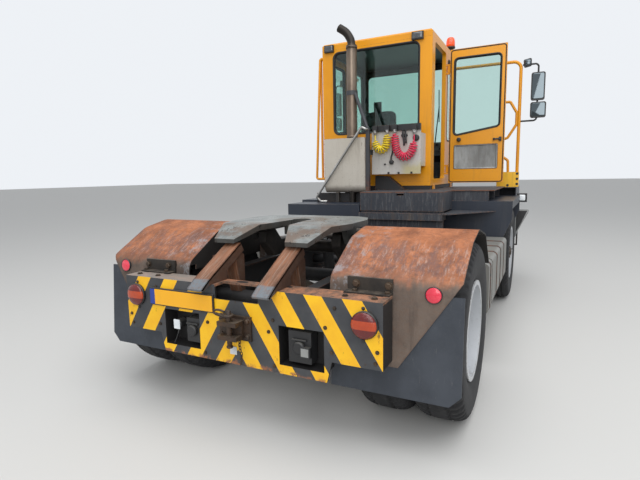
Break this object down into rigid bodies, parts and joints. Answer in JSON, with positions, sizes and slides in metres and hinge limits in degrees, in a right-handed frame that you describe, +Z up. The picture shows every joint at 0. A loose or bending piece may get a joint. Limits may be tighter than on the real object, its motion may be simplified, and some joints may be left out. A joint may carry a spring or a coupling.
{
  "type": "terminal tractor",
  "caption": "Terminal tractor with an offset one-seat cab, a lifting fifth wheel between bent steel rear fenders, guide ramps and a striped rear cross-member.",
  "frame": {"origin": "on the ground at the middle of the tractor's length and width", "axes": "+X forward, +Y to the driver's left, +Z up"},
  "size_m": [5.27, 2.992, 3.295],
  "materials": {
    "yellow_paint": "semi-gloss",
    "navy_paint": "semi-gloss",
    "grey_paint": "semi-gloss",
    "black_paint": "matte",
    "charcoal_paint": "textured",
    "stripe_paint": "matte",
    "rusty_steel": "rusty",
    "greasy_steel": "greasy",
    "tyre": "matte",
    "rim_paint": "dusty",
    "axle_iron": "rough",
    "flap_rubber": "matte",
    "lamp_lens": "glossy",
    "head_lamp": "glossy",
    "beacon_lens": "glossy",
    "window_glass": "clear",
    "seat_fabric": "woven",
    "black_plastic": "matte",
    "steel_pipe": "heat stained",
    "rail_steel": "satin",
    "chrome_rod": "polished",
    "line_yellow": "glossy",
    "line_red": "glossy"
  },
  "bodies": {
    "chassis": {"frame_rails": "black_paint", "frame_members": "black_paint", "front_axle": "black_paint", "front_springs": "black_paint", "front_bumper": "black_paint", "mirrors": "black_paint", "rear_crossmember": "stripe_paint", "rear_fenders": "rusty_steel", "tow_coupling": "rusty_steel", "ramps": "rusty_steel", "mudflaps": "flap_rubber", "rear_lamps": "lamp_lens", "rear_axle": "axle_iron", "drive_shaft": "axle_iron", "engine": "axle_iron", "rear_deck": "charcoal_paint", "side_tanks": "grey_paint", "hose_panel": "grey_paint", "front_fenders": "navy_paint", "nose": "navy_paint", "lamps": "head_lamp", "cab_floor": "yellow_paint", "cab_roof": "yellow_paint", "cab_rear": "yellow_paint", "cab_front": "yellow_paint", "cab_sides": "yellow_paint", "guard_frame_left": "yellow_paint", "guard_frame_right": "yellow_paint", "cab_windows": "window_glass", "seat_base": "black_plastic", "dashboard": "black_plastic", "steering_wheel": "black_plastic", "seat_cushions": "seat_fabric", "exhaust_pipe": "steel_pipe", "exhaust_shield": "grey_paint", "exhaust_post": "black_paint", "handrail": "rail_steel", "air_line_yellow": "line_yellow", "air_line_red": "line_red", "beacon": "beacon_lens"},
    "wheel_rear_left": {"tyres_rear_left": "tyre", "rims_rear_left": "rim_paint"},
    "wheel_rear_right": {"tyres_rear_right": "tyre", "rims_rear_right": "rim_paint"},
    "knuckle_left": {"knuckle_left": "black_paint"},
    "knuckle_right": {"knuckle_right": "black_paint"},
    "wheel_front_left": {"tyre_front_left": "tyre", "rim_front_left": "rim_paint"},
    "wheel_front_right": {"tyre_front_right": "tyre", "rim_front_right": "rim_paint"},
    "tie_rod": {"tie_rod": "black_paint"},
    "lift_boom": {"lift_boom": "greasy_steel"},
    "lift_barrels": {"lift_barrels": "black_paint"},
    "lift_rods": {"lift_rods": "chrome_rod"},
    "fifth_wheel": {"fifth_wheel": "greasy_steel", "fifth_wheel_lock": "greasy_steel"},
    "door_left": {"door_left": "yellow_paint", "door_window_left": "window_glass"},
    "door_right": {"door_right": "yellow_paint", "door_window_right": "window_glass"}
  },
  "joints": [
    {"name": "wheel_rear_left_spin", "type": "hinge", "parent": "chassis", "child": "wheel_rear_left", "pos_m": [-1.765, 0.92, 0.536], "axis": [0, 1, 0], "continuous": true},
    {"name": "wheel_rear_right_spin", "type": "hinge", "parent": "chassis", "child": "wheel_rear_right", "pos_m": [-1.765, -0.92, 0.536], "axis": [0, 1, 0], "continuous": true},
    {"name": "steer_left", "type": "hinge", "parent": "chassis", "child": "knuckle_left", "pos_m": [1.235, 0.88, 0.526], "axis": [0, 0, 1], "range_deg": [-38, 38]},
    {"name": "steer_right", "type": "hinge", "parent": "chassis", "child": "knuckle_right", "pos_m": [1.235, -0.88, 0.526], "axis": [0, 0, 1], "range_deg": [-38, 38]},
    {"name": "wheel_front_left_spin", "type": "hinge", "parent": "knuckle_left", "child": "wheel_front_left", "pos_m": [1.235, 1.0725, 0.536], "axis": [0, 1, 0], "continuous": true},
    {"name": "wheel_front_right_spin", "type": "hinge", "parent": "knuckle_right", "child": "wheel_front_right", "pos_m": [1.235, -1.0725, 0.536], "axis": [0, 1, 0], "continuous": true},
    {"name": "tie_rod_slide", "type": "slide", "parent": "chassis", "child": "tie_rod", "axis": [0, 1, 0], "range_m": [-0.14, 0.14]},
    {"name": "boom_lift", "type": "hinge", "parent": "chassis", "child": "lift_boom", "pos_m": [-0.415, 0, 0.93], "axis": [0, 1, 0], "range_deg": [0, 25]},
    {"name": "barrels_swing", "type": "hinge", "parent": "chassis", "child": "lift_barrels", "pos_m": [-0.815, 0, 0.6], "axis": [0, 1, 0], "range_deg": [0, 11.3]},
    {"name": "rods_extend", "type": "slide", "parent": "lift_barrels", "child": "lift_rods", "axis": [-0.2784, 0, 0.9605], "range_m": [0, 0.2]},
    {"name": "plate_tilt", "type": "hinge", "parent": "lift_boom", "child": "fifth_wheel", "pos_m": [-1.685, 0, 1.052], "axis": [0, 1, 0], "range_deg": [0, 15]},
    {"name": "door_right_swing", "type": "hinge", "parent": "chassis", "child": "door_right", "pos_m": [1.625, -0.366, 2.18], "axis": [0, 0, 1], "range_deg": [-90, 0]},
    {"name": "door_left_swing", "type": "hinge", "parent": "chassis", "child": "door_left", "pos_m": [1.625, 1.056, 2.18], "axis": [0, 0, 1], "range_deg": [-90, 0]}
  ],
  "couplings": [
    {"joint": "steer_right", "follows": "steer_left", "ratio": 1},
    {"joint": "tie_rod_slide", "follows": "steer_left", "m_per_rad": -0.21},
    {"joint": "barrels_swing", "follows": "boom_lift", "ratio": 0.45},
    {"joint": "rods_extend", "follows": "boom_lift", "m_per_rad": 0.457}
  ]
}
